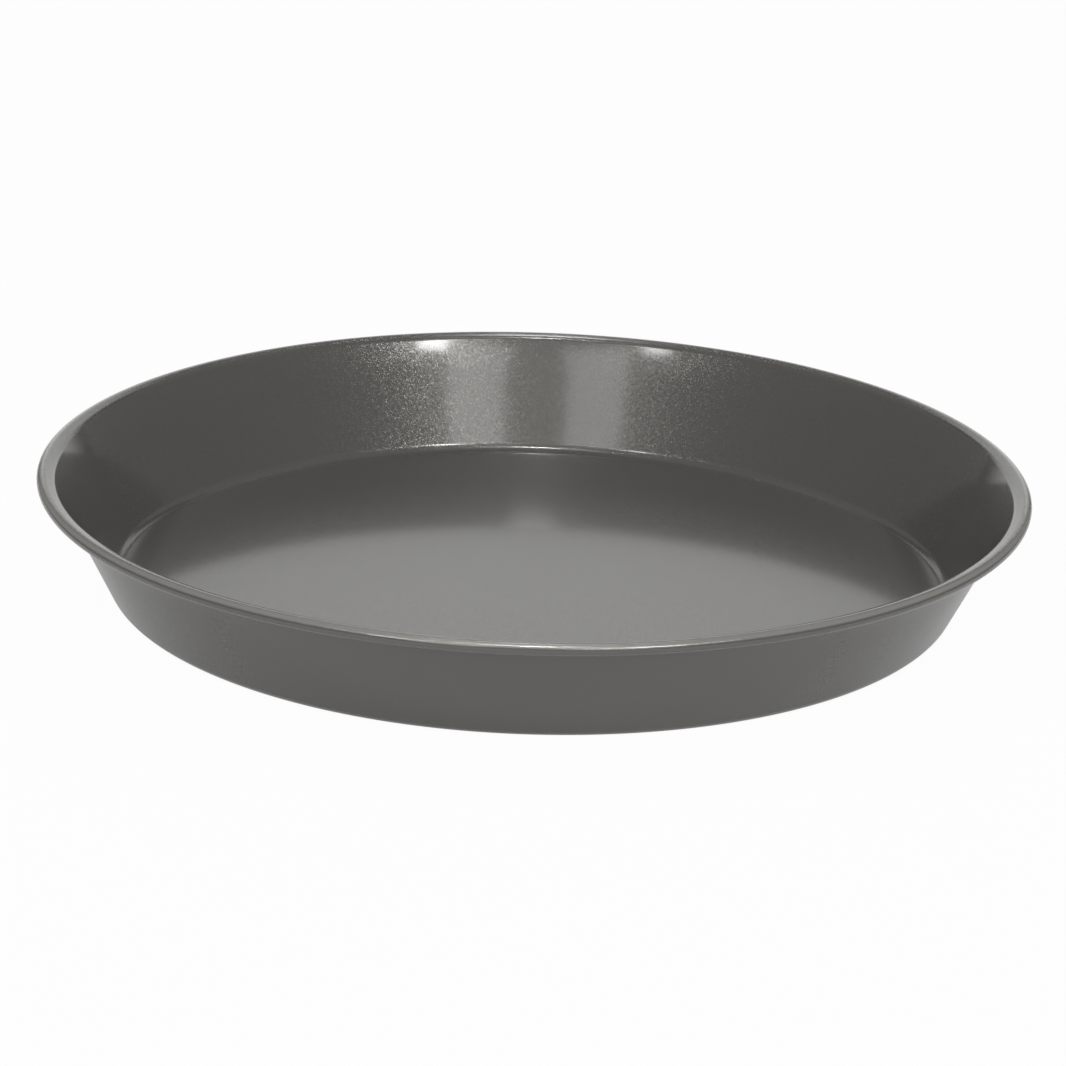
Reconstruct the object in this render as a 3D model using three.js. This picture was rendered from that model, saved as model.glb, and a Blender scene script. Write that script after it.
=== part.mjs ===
// A round cake pan, pressed in one piece from a disc of coated steel sheet: a flat floor, a wall that leans
// outwards and flares a little towards its top, and a rim that bends out and is rolled over and under.
// Millimetres, +Z up. The origin is the centre of the underside, on the table that the pan stands on.
import * as THREE from "three";

// Driving dimensions. Corners and bend radii are those of the middle of the sheet.
const RIM_DIAMETER = 280; // across the outside of the rolled edge
const OVERALL_HEIGHT = 33.2; // from the table to the top of the rolled edge
const BASE_DIAMETER = 238; // across the corner of floor and wall, as if it were sharp
const SHEET = 0.6; // thickness of the steel with its coating
const FLOOR_BEND_RADIUS = 4; // between floor and wall
const FLARE_LENGTH = 7; // of the top of the wall that leans further out, between its two corners
const FLARE_TURN = 5; // degrees that it leans further out than the rest of the wall
const FLARE_RADIUS = 100; // of the gentle bend below it
const RIM_WIDTH = 5; // from the corner of wall and rim to the outside of the rolled edge
const RIM_SLOPE = 32; // degrees that the rim still climbs between wall and roll
const RIM_BEND_RADIUS = 1; // between wall and rim
const ROLL_RADIUS = 1.7; // outside of the rolled edge
const ROLL_TURN = 230; // degrees that the edge is rolled over and back under the rim

// Fineness of the round surfaces
const SIDES = 96; // flats around the pan
const BEND_STEP = 10; // degrees to a flat in the bends
const ROLL_STEP = 22.5; // degrees to a flat in the rolled edge

const { degToRad } = THREE.MathUtils;

// The sheet seen in section, followed along its middle from the axis to the cut edge. Each station
// holds a point (distance from the axis, height) and the heading there, 0 outwards and positive up.
class SheetSection {
  constructor(startHeight) {
    this.point = new THREE.Vector2(0, startHeight);
    this.heading = 0;
    this.stations = [];
    this.mark();
  }

  mark() {
    this.stations.push({ point: this.point.clone(), heading: this.heading });
  }

  step(length) {
    this.point.x += length * Math.cos(this.heading);
    this.point.y += length * Math.sin(this.heading);
  }

  straight(length) {
    this.step(length);
    this.mark();
  }

  // A bend of the given turn in radians, upwards if positive, followed in chords of equal length.
  bend(radius, turn, stepDegrees) {
    const chords = Math.ceil(Math.abs(turn) / degToRad(stepDegrees));
    const turnPerChord = turn / chords;
    const chord = 2 * radius * Math.sin(Math.abs(turnPerChord) / 2);
    for (let i = 0; i < chords; i += 1) {
      this.heading += turnPerChord / 2;
      this.step(chord);
      this.heading += turnPerChord / 2;
      this.mark();
    }
  }

  // One face of the sheet: the stations moved square to the sheet, upwards on the floor if positive.
  face(offset) {
    return this.stations.map(({ point, heading }) => {
      const across = new THREE.Vector2(-Math.sin(heading), Math.cos(heading));
      return point.clone().addScaledVector(across, offset);
    });
  }

  // The closed section: out along the underside, over the cut edge and back along the upper face.
  outline(thickness) {
    const underside = this.face(-thickness / 2);
    const upperFace = this.face(thickness / 2);
    return [...underside, ...upperFace.reverse()];
  }
}

// Length that a bend takes from each of the two straights that it joins.
function setback(radius, turn) {
  return radius * Math.tan(Math.abs(turn) / 2);
}

function pressedSheet() {
  const rimSlope = degToRad(RIM_SLOPE);
  const rollRadius = ROLL_RADIUS - SHEET / 2;
  const rollCentre = new THREE.Vector2(RIM_DIAMETER / 2 - ROLL_RADIUS, OVERALL_HEIGHT - ROLL_RADIUS);
  const rollStart = new THREE.Vector2(-Math.sin(rimSlope), Math.cos(rimSlope))
    .multiplyScalar(rollRadius)
    .add(rollCentre);

  // Sharp corners of the section, where its straights would meet.
  const floorCorner = new THREE.Vector2(BASE_DIAMETER / 2, SHEET / 2);
  const rimCorner = new THREE.Vector2(RIM_DIAMETER / 2 - RIM_WIDTH, 0);
  const rimRun = (rollStart.x - rimCorner.x) / Math.cos(rimSlope);
  rimCorner.y = rollStart.y - rimRun * Math.sin(rimSlope);

  // The wall's slope below the flare is steeper than the straight line from corner to corner.
  const climb = rimCorner.clone().sub(floorCorner);
  const flareTurn = degToRad(FLARE_TURN);
  const wallSlope = climb.angle() + Math.asin((FLARE_LENGTH * Math.sin(flareTurn)) / climb.length());
  const flareSlope = wallSlope - flareTurn;
  const flareCorner = new THREE.Vector2(Math.cos(flareSlope), Math.sin(flareSlope))
    .multiplyScalar(-FLARE_LENGTH)
    .add(rimCorner);
  const wallLength = flareCorner.distanceTo(floorCorner);

  const floorSetback = setback(FLOOR_BEND_RADIUS, wallSlope);
  const flareSetback = setback(FLARE_RADIUS, flareTurn);
  const rimTurn = rimSlope - flareSlope;
  const rimSetback = setback(RIM_BEND_RADIUS, rimTurn);

  const section = new SheetSection(SHEET / 2);
  section.straight(floorCorner.x - floorSetback);
  section.bend(FLOOR_BEND_RADIUS, wallSlope, BEND_STEP);
  section.straight(wallLength - floorSetback - flareSetback);
  section.bend(FLARE_RADIUS, -flareTurn, BEND_STEP);
  section.straight(FLARE_LENGTH - flareSetback - rimSetback);
  section.bend(RIM_BEND_RADIUS, rimTurn, BEND_STEP);
  section.straight(rimRun - rimSetback);
  // The roll is divided at its top and at its outside, so that its flats keep the full height and width.
  const overTop = rimSlope;
  const downOutside = Math.PI / 2;
  const backUnder = degToRad(ROLL_TURN) - overTop - downOutside;
  for (const turn of [overTop, downOutside, backUnder]) {
    section.bend(rollRadius, -turn, ROLL_STEP);
  }
  return section;
}

const coatedSteel = new THREE.MeshStandardMaterial({
  color: 0x5c5b57,
  roughness: 0.35,
  metalness: 0.6,
});

// The section turned about the axis, which a lathe takes as upright in Y, then stood up along Z.
const panShape = new THREE.LatheGeometry(pressedSheet().outline(SHEET), SIDES);
panShape.rotateX(Math.PI / 2);

const panBody = new THREE.Mesh(panShape, coatedSteel);
panBody.name = "pan_body";

const cakePan = new THREE.Group();
cakePan.add(panBody);

export default cakePan;
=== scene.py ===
from math import asin, cos, pi, radians, sin, tan

import bmesh
import bpy
from mathutils import Matrix, Vector


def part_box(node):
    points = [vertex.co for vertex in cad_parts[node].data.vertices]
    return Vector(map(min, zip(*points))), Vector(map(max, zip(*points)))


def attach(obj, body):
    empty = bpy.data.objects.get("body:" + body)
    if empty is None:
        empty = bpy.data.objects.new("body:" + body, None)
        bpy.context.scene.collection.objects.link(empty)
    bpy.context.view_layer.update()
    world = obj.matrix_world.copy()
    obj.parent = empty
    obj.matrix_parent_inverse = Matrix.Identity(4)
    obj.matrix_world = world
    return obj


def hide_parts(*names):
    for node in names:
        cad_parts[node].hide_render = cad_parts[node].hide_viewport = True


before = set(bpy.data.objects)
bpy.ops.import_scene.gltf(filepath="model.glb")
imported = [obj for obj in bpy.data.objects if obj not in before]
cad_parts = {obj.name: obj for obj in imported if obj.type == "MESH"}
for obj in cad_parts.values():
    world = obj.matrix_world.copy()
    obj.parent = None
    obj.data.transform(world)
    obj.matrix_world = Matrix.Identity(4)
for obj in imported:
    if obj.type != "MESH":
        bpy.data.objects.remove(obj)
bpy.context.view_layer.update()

# Pan
# One disc of steel sheet with a dark grey coating baked on, pressed to a flat floor and a flared wall. Its
# edge is bent out to a nearly flat rim and rolled over and under. The sheet is drawn in section, along the
# middle of its thickness, and turned about the pan's axis.
box_margin = 1e-6  # that the pan keeps inside the solid's box
pan_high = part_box("pan_body")[1]
rim_radius = pan_high.x - box_margin
pan_height = pan_high.z - box_margin
base_radius = 0.119  # of the corner of floor and wall, as if it were sharp
sheet = 0.0006
floor_bend_radius = 0.004
flare_length = 0.007  # of the top of the wall that leans further out
flare_turn = radians(5)
flare_radius = 0.100
rim_width = 0.0047  # from the corner of wall and rim to the outside
rim_slope = radians(18.5)
rim_bend_radius = 0.0022
crown_radius = 0.0023  # of the top of the rolled edge, which is flatter than its outside
crown_fall = radians(40)  # where the crown ends and the outside begins
edge_radius = 0.0009
roll_radius = 0.0014  # of the part that is rolled under
roll_turn = radians(130)
sides = 256
merge_distance = 1e-6


class SheetSection:
    """A section of bent sheet, drawn from the pan's axis outwards."""

    def __init__(self, height):
        self.mesh = bmesh.new()
        self.end = self.mesh.verts.new((0, 0, height))
        self.heading = 0.0

    def straight(self, length, parts):
        for _ in range(parts):
            self.end = bmesh.ops.extrude_vert_indiv(self.mesh, verts=[self.end])["verts"][0]
            step = Vector((cos(self.heading), 0, sin(self.heading))) * length / parts
            bmesh.ops.translate(self.mesh, verts=[self.end], vec=step)

    def bend(self, radius, turn, parts):
        """Bends upwards if turn is positive, and downwards if it is negative."""
        side = 1 if turn > 0 else -1
        centre = self.end.co + Vector((-sin(self.heading), 0, cos(self.heading))) * radius * side
        made = bmesh.ops.spin(
            self.mesh, geom=[self.end], cent=centre, axis=(0, -1, 0), angle=turn, steps=parts
        )
        self.end = next(part for part in made["geom_last"] if isinstance(part, bmesh.types.BMVert))
        self.heading += turn


def setback(radius, turn):
    """What a bend takes from the straight on each side of it."""
    return radius * tan(abs(turn) / 2)


# Sharp corners of the section, where its straights would meet.
edge_centre_x = rim_radius - sheet / 2 - edge_radius
crown_centre_x = edge_centre_x - (crown_radius - edge_radius) * sin(crown_fall)
crown_centre = Vector((crown_centre_x, 0, pan_height - sheet / 2 - crown_radius))
crown_start = crown_centre + Vector((-sin(rim_slope), 0, cos(rim_slope))) * crown_radius
floor_corner = Vector((base_radius, 0, sheet / 2))
rim_run = (crown_start.x - (rim_radius - rim_width)) / cos(rim_slope)
rim_corner = crown_start - Vector((cos(rim_slope), 0, sin(rim_slope))) * rim_run
climb = rim_corner - floor_corner
wall_slope = Vector((1, 0, 0)).angle(climb) + asin(flare_length * sin(flare_turn) / climb.length)
flare_slope = wall_slope - flare_turn
flare_corner = rim_corner - Vector((cos(flare_slope), 0, sin(flare_slope))) * flare_length
wall_length = (flare_corner - floor_corner).length
floor_setback = setback(floor_bend_radius, wall_slope)
flare_setback = setback(flare_radius, flare_turn)
rim_setback = setback(rim_bend_radius, flare_slope - rim_slope)

section = SheetSection(sheet / 2)
section.straight(floor_corner.x - floor_setback, parts=16)
section.bend(floor_bend_radius, wall_slope, parts=16)
section.straight(wall_length - floor_setback - flare_setback, parts=10)
section.bend(flare_radius, -flare_turn, parts=10)
section.straight(flare_length - flare_setback - rim_setback, parts=1)
section.bend(rim_bend_radius, rim_slope - flare_slope, parts=12)
section.straight(rim_run - rim_setback, parts=2)
section.bend(crown_radius, -rim_slope, parts=6)
section.bend(crown_radius, -crown_fall, parts=12)
section.bend(edge_radius, crown_fall - pi / 2, parts=10)
section.bend(roll_radius, -roll_turn, parts=18)

pan_mesh = section.mesh
bmesh.ops.spin(
    pan_mesh, geom=pan_mesh.verts[:] + pan_mesh.edges[:], cent=(0, 0, 0), axis=(0, 0, 1),
    angle=2 * pi, steps=sides, use_merge=True,
)
bmesh.ops.remove_doubles(pan_mesh, verts=pan_mesh.verts[:], dist=merge_distance)
bmesh.ops.recalc_face_normals(pan_mesh, faces=pan_mesh.faces[:])
for face in pan_mesh.faces:
    face.smooth = True
pan_data = bpy.data.meshes.new("cake_pan")
pan_mesh.to_mesh(pan_data)
pan_mesh.free()
cake_pan = bpy.data.objects.new("cake_pan", pan_data)
bpy.context.scene.collection.objects.link(cake_pan)
thickness = cake_pan.modifiers.new("sheet", "SOLIDIFY")
thickness.thickness = sheet
thickness.offset = 0
thickness.use_even_offset = True


class Wire:
    """A shader socket that adds Math nodes when it is used in a sum."""

    def __init__(self, tree, socket=None):
        self.tree = tree
        self.socket = socket

    def node(self, kind, inputs, output=None, **settings):
        made = self.tree.nodes.new(kind)
        for name, value in settings.items():
            setattr(made, name, value)
        for name, value in inputs.items():
            if isinstance(value, Wire):
                self.tree.links.new(value.socket, made.inputs[name])
            else:
                made.inputs[name].default_value = value
        return None if output is None else Wire(self.tree, made.outputs[output])

    def math(self, operation, first, second):
        return self.node("ShaderNodeMath", {0: first, 1: second}, 0, operation=operation)

    def vector(self, operation, inputs, output="Vector"):
        return self.node("ShaderNodeVectorMath", inputs, output, operation=operation)

    def blend(self, share, first, second):
        """A colour between two others. 6, 7 and 2 are the colour sockets of a Mix node."""
        return self.node("ShaderNodeMix", {0: share, 6: first, 7: second}, 2, data_type="RGBA")

    def rise(self, value, start, end):
        """Goes smoothly from 0 to 1 as the value goes from start to end."""
        limits = {"Value": value, "From Min": start, "From Max": end}
        return self.node("ShaderNodeMapRange", limits, "Result", interpolation_type="SMOOTHSTEP")

    def __add__(self, other):
        return self.math("ADD", self, other)

    __radd__ = __add__

    def __mul__(self, other):
        return self.math("MULTIPLY", self, other)

    __rmul__ = __mul__

    def __sub__(self, other):
        return self.math("SUBTRACT", self, other)

    def __rsub__(self, other):
        return self.math("SUBTRACT", other, self)


def new_material(name):
    material = bpy.data.materials.new(name)
    material.use_nodes = True
    material.node_tree.nodes.clear()
    return material, Wire(material.node_tree)


# The coating is a smooth glossy film over a ground that holds fine metallic flakes. They lie at slightly
# different angles and glint one by one near a highlight. Over the crest of the rolled edge the ground is
# painted paler, a painted sheen that stands in for the light the crest mirrors from around the pan.
flake_size = 0.0003
flake_tilt = 0.18
ground_colour = (0.146, 0.1425, 0.133, 1)
# painted sheen: the paler ground colour over the crest of the rolled edge, standing in for mirrored light
painted_crest_sheen_colour = (0.36, 0.352, 0.328, 1)
painted_sheen_width = 0.0021
painted_sheen_depth = 0.0011
painted_sheen_fade = 0.0006

coating, graph = new_material("dark_grey_coating")
place = graph.node("ShaderNodeTexCoord", {}, "Object")
flake = graph.node(
    "ShaderNodeTexVoronoi", {"Vector": place, "Scale": 1 / flake_size}, "Color", voronoi_dimensions="3D"
)
centred = graph.vector("SUBTRACT", {0: flake, 1: (0.5, 0.5, 0.5)})
tilt = graph.vector("SCALE", {0: centred, "Scale": flake_tilt})
upright = graph.node("ShaderNodeNewGeometry", {}, "Normal")
leaning = graph.vector("ADD", {0: upright, 1: tilt})
flake_normal = graph.vector("NORMALIZE", {0: leaning})

level = graph.vector("MULTIPLY", {0: place, 1: (1, 1, 0)})
from_axis = graph.vector("LENGTH", {0: level}, "Value")
above_table = graph.node("ShaderNodeSeparateXYZ", {"Vector": place}, "Z")
painted_sheen_inside = rim_radius - painted_sheen_width
painted_sheen_bottom = pan_height - painted_sheen_depth
# Mask of the painted sheen: the outer, upper part of the rolled edge, where the ground is painted paler
outwards = graph.rise(from_axis, painted_sheen_inside, painted_sheen_inside + painted_sheen_fade)
upwards = graph.rise(above_table, painted_sheen_bottom, painted_sheen_bottom + painted_sheen_fade)
film = graph.node(
    "ShaderNodeBsdfPrincipled",
    {
        "Base Color": graph.blend(outwards * upwards, ground_colour, painted_crest_sheen_colour),
        "Metallic": 0.5,
        "Roughness": 0.26,
        "Specular IOR Level": 0.0,
        "Normal": flake_normal,
        "Coat Weight": 1.0,
        "Coat Roughness": 0.115,
        "Coat IOR": 1.5,
    },
    "BSDF",
)
graph.node("ShaderNodeOutputMaterial", {"Surface": film})
pan_data.materials.append(coating)
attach(cake_pan, "root")
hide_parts("pan_body")

# Floor
# A wide sheet of white paper, which the pan stands on. Seen directly it is white, and mirrored in the
# coating it is dimmer, as paper is that has the pan above it. It is clear from below.
floor_size = 8
floor_gap = 0.0002
paper_colour = (0.75, 0.75, 0.75, 1)
white = (1, 1, 1, 1)
white_share = 0.97  # the rest of what is seen is lit paper, which holds the pan's shadow
mirrored_share = 0.36


def seen(graph):
    """1 for what the camera sees directly, a share of it in a mirror, and 0 for light on its way."""
    camera_ray = graph.node("ShaderNodeLightPath", {}, "Is Camera Ray")
    glossy_ray = graph.node("ShaderNodeLightPath", {}, "Is Glossy Ray")
    transmission_ray = graph.node("ShaderNodeLightPath", {}, "Is Transmission Ray")
    mirrored_ray = glossy_ray + transmission_ray
    return graph.node("ShaderNodeClamp", {"Value": camera_ray + mirrored_ray * mirrored_share}, "Result")


def clear_from_behind(graph, front):
    """Shows a sheet's front only, so that it hides nothing from the other side."""
    behind = graph.node("ShaderNodeNewGeometry", {}, "Backfacing")
    clear = graph.node("ShaderNodeBsdfTransparent", {}, "BSDF")
    return graph.node("ShaderNodeMixShader", {0: behind, 1: front, 2: clear}, 0)


def stage_sheet(name, size_x, size_y, material):
    sheet_mesh = bmesh.new()
    bmesh.ops.create_grid(sheet_mesh, x_segments=1, y_segments=1, size=0.5)
    bmesh.ops.scale(sheet_mesh, vec=(size_x, size_y, 1), verts=sheet_mesh.verts[:])
    sheet_data = bpy.data.meshes.new(name)
    sheet_mesh.to_mesh(sheet_data)
    sheet_mesh.free()
    sheet_data.materials.append(material)
    made = bpy.data.objects.new(name, sheet_data)
    bpy.context.scene.collection.objects.link(made)
    return made


paper, graph = new_material("white_paper")
paper_lit = graph.node("ShaderNodeBsdfDiffuse", {"Color": paper_colour}, "BSDF")
paper_white = graph.node("ShaderNodeEmission", {"Color": white, "Strength": 1.0}, "Emission")
paper_mix = graph.node("ShaderNodeMixShader", {0: seen(graph) * white_share, 1: paper_lit, 2: paper_white}, 0)
graph.node("ShaderNodeOutputMaterial", {"Surface": clear_from_behind(graph, paper_mix)})
floor = stage_sheet("floor", floor_size, floor_size, paper)
floor.location.z = -floor_gap

# Backdrop
# A white card behind the pan, narrower at its top and fading at its sides, which the floor and the rim of
# the pan mirror. It is clear from behind, and the room around it is dim.
card_distance = 1.1
card_width = 1.36
card_height = 0.95
card_taper = 1.17  # that each side leans in for each metre of height
card_spread = 2.26  # between the leaning sides at the floor, past the card's own width
card_strength = 0.9
soft_edge = 0.32
black = (0, 0, 0, 1)
room_strength = 0.22

card, graph = new_material("white_card")
card_place = graph.node("ShaderNodeTexCoord", {}, "Object")
across = graph.node("ShaderNodeSeparateXYZ", {"Vector": card_place}, "X")
above_middle = graph.node("ShaderNodeSeparateXYZ", {"Vector": card_place}, "Y")
leaning_side = card_spread / 2 - (above_middle + card_height / 2) * card_taper
half_width = graph.math("MINIMUM", leaning_side, card_width / 2)
from_edge = half_width - graph.math("ABSOLUTE", across, 0.0)
card_colour = graph.blend(graph.rise(from_edge, 0, soft_edge), black, white)
card_white = graph.node("ShaderNodeEmission", {"Color": card_colour, "Strength": card_strength}, "Emission")
graph.node("ShaderNodeOutputMaterial", {"Surface": clear_from_behind(graph, card_white)})
backdrop = stage_sheet("backdrop", card_width, card_height, card)
backdrop.location = (0, card_distance, card_height / 2)
backdrop.rotation_euler = (pi / 2, 0, 0)

world = bpy.data.worlds.new("dim_room")
world.use_nodes = True
world.node_tree.nodes.clear()
graph = Wire(world.node_tree)
room = graph.node("ShaderNodeBackground", {"Color": white, "Strength": room_strength}, "Background")
graph.node("ShaderNodeOutputWorld", {"Surface": room})
bpy.context.scene.world = world

# Lights
# A small lamp overhead and one high behind the pan. Behind the camera are two panels, each made of lamps of
# growing width so that it fades to its sides, and two small lamps.
far = 6
near = 1.6
panel_widths = (0.16, 0.24, 0.32, 0.40)
panel_height = 0.75


def soft_box(name, distance, azimuth, elevation, width, height, radiance):
    """A lamp that faces the pan. Azimuth 0 is towards the camera, and 90 is to the right."""
    lamp = bpy.data.lights.new(name, "AREA")
    lamp.shape = "RECTANGLE"
    lamp.size = width
    lamp.size_y = height
    lamp.energy = radiance * pi * width * height
    box = bpy.data.objects.new(name, lamp)
    turn = radians(azimuth)
    lift = radians(elevation)
    away = Vector((sin(turn) * cos(lift), -cos(turn) * cos(lift), sin(lift)))
    box.location = away * distance
    box.rotation_euler = away.to_track_quat("Z", "Y").to_euler()
    box.visible_camera = False
    bpy.context.scene.collection.objects.link(box)


soft_box("overhead_light", far, azimuth=0, elevation=86, width=0.5, height=0.5, radiance=52)
soft_box("back_light", far, azimuth=180, elevation=55, width=0.5, height=0.3, radiance=18)
for width in panel_widths:
    soft_box("right_panel", near, 19, 36, width, panel_height, radiance=2.5)
    soft_box("left_panel", near, -18, 36, width, panel_height, radiance=2.2)
soft_box("right_lamp", near, azimuth=34, elevation=52, width=0.17, height=0.30, radiance=24)
soft_box("left_lamp", near, azimuth=-38, elevation=52, width=0.15, height=0.26, radiance=14)

# Camera
# A long lens a little above the pan, turned slightly about its own axis. Its place and its focal length, in
# pixels of the photograph, were fitted to the pan's outlines. Angles are in radians.
camera_distance = 1.1565
camera_elevation = 0.34625
camera_tilt = 0.01169
camera_roll = 0.03241
focal_pixels = 4049.3
photo_pixels = 1066
sensor_width = 36
camera_data = bpy.data.cameras.new("camera")
camera_data.sensor_width = sensor_width
camera_data.lens = focal_pixels / photo_pixels * sensor_width
camera = bpy.data.objects.new("camera", camera_data)
bpy.context.scene.collection.objects.link(camera)
stand = Matrix.Translation(
    Vector((0, -cos(camera_elevation), sin(camera_elevation))) * camera_distance
)
aim = Matrix.Rotation(pi / 2 - camera_elevation + camera_tilt, 4, "X")
camera.matrix_world = stand @ aim @ Matrix.Rotation(camera_roll, 4, "Z")
bpy.context.scene.camera = camera
bpy.context.scene.view_settings.view_transform = "Standard"
